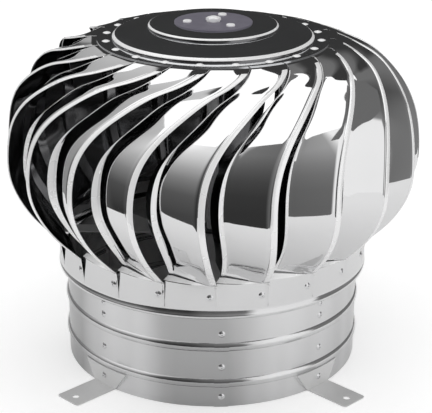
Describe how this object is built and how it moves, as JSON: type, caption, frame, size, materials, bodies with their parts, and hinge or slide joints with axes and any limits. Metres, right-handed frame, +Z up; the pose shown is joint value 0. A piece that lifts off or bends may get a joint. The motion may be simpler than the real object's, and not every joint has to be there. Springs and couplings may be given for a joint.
{
  "type": "rotating chimney cowl",
  "caption": "Wind-turned chimney cowl in stainless steel: a ball of swept vanes on a riveted skirt ring turns on a fixed shaft over a beaded collar with fixing feet.",
  "frame": {"origin": "centre of the collar's lower end, on the roof that the feet stand on", "axes": "+Z up the axis that the turbine turns about; -Y towards the viewer of the picture; the feet stand at 45 degrees to X and Y"},
  "size_m": [0.4164, 0.4164, 0.3503],
  "materials": {
    "vane_steel": "mirror-polished stainless steel",
    "plate_steel": "mirror-polished stainless steel, stamped",
    "collar_steel": "bright rolled stainless steel",
    "strap_steel": "satin stainless steel",
    "rivet_metal": "bright",
    "cover_metal": "satin grey",
    "housing_metal": "turned",
    "fixing_steel": "zinc-bright steel",
    "bush_plastic": "natural bearing plastic"
  },
  "bodies": {
    "base": {"collar": "collar_steel", "foot_rear_right": "strap_steel", "foot_rear_left": "strap_steel", "foot_front_left": "strap_steel", "foot_front_right": "strap_steel", "foot_rivets": "rivet_metal", "seam_rivets": "rivet_metal", "frame_strap_lower": "strap_steel", "frame_strap_upper": "strap_steel", "frame_rivets": "rivet_metal", "shaft": "fixing_steel", "frame_washer_upper": "fixing_steel", "frame_washer_lower": "fixing_steel", "shaft_nut": "fixing_steel", "shaft_lock_nut": "fixing_steel", "bearing_inner_ring": "fixing_steel", "spacer_sleeve": "fixing_steel", "centre_nut": "fixing_steel"},
    "turbine": {"top_plate": "plate_steel", "hub_cover": "cover_metal", "hub_screws": "fixing_steel", "bearing_housing": "housing_metal", "bearing_retaining_ring": "fixing_steel", "bearing_outer_ring": "fixing_steel", "skirt_ring": "vane_steel", "guide_cross": "strap_steel", "guide_bush": "bush_plastic", "top_rivets": "rivet_metal", "skirt_rivets": "rivet_metal", "vane_01": "vane_steel", "vane_02": "vane_steel", "vane_03": "vane_steel", "vane_04": "vane_steel", "vane_05": "vane_steel", "vane_06": "vane_steel", "vane_07": "vane_steel", "vane_08": "vane_steel", "vane_09": "vane_steel", "vane_10": "vane_steel", "vane_11": "vane_steel", "vane_12": "vane_steel", "vane_13": "vane_steel", "vane_14": "vane_steel", "vane_15": "vane_steel", "vane_16": "vane_steel", "vane_17": "vane_steel", "vane_18": "vane_steel", "vane_19": "vane_steel", "vane_20": "vane_steel"}
  },
  "joints": [
    {"name": "turbine_spin", "type": "hinge", "parent": "base", "child": "turbine", "pos_m": [0, 0, 0], "axis": [0, 0, 1], "continuous": true}
  ]
}
